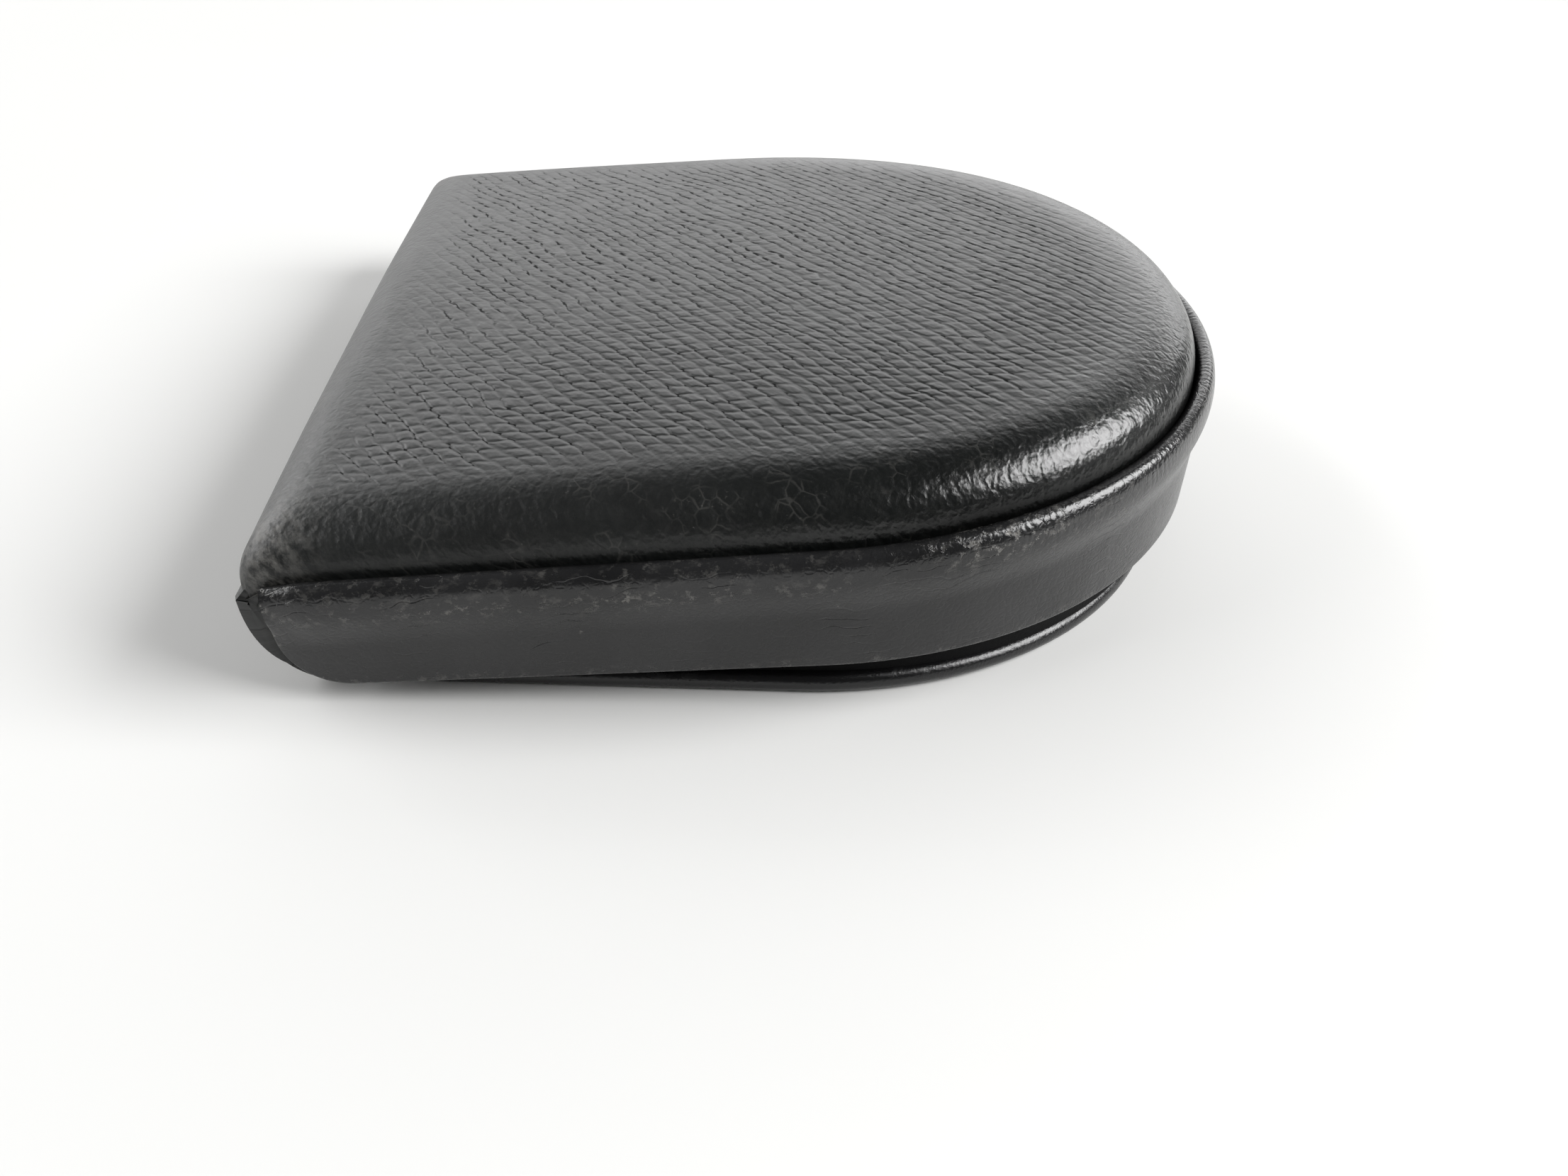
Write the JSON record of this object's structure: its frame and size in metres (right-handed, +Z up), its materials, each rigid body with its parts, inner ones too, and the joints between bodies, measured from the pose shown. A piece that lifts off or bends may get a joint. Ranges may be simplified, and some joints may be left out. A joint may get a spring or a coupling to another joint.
{
  "type": "horseshoe coin case",
  "caption": "Small black leather horseshoe coin case: padded lid with a beaded band, folding leather spine and a coin pocket tray that nests inside the lid.",
  "frame": {"origin": "centre of the overall box on the table plane, under the sole", "axes": "+X along the spine, +Y from the round end towards the spine, +Z up from the sole to the padded lid"},
  "size_m": [0.07, 0.0694, 0.0192],
  "materials": {
    "cover": "satin",
    "band": "satin",
    "sole": "satin",
    "lining": "matte",
    "board": "matte",
    "foam": "matte"
  },
  "bodies": {
    "base": {"base_leather": "sole", "base_board": "board", "floor_lining": "lining", "tray_leather": "band", "tray_core": "board", "tray_lining": "lining", "pocket_leather": "band", "pocket_lining_sheet": "lining"},
    "spine": {"spine_leather": "cover", "spine_lining": "lining"},
    "lid": {"lid_cover": "cover", "lid_foam": "foam", "lid_board": "board", "lid_lining": "lining", "band_leather": "band", "band_core": "board", "band_lining": "lining"}
  },
  "joints": [
    {"name": "spine_fold", "type": "hinge", "parent": "base", "child": "spine", "pos_m": [0, 0.02935, 0.0005], "axis": [-1, 0, 0], "range_deg": [0, 24]},
    {"name": "lid_fold", "type": "hinge", "parent": "spine", "child": "lid", "pos_m": [0, 0.03415, 0.0074], "axis": [-1, 0, 0], "range_deg": [0, 143.9]}
  ],
  "couplings": [
    {"joint": "spine_fold", "follows": "lid_fold", "ratio": 0.16667}
  ]
}
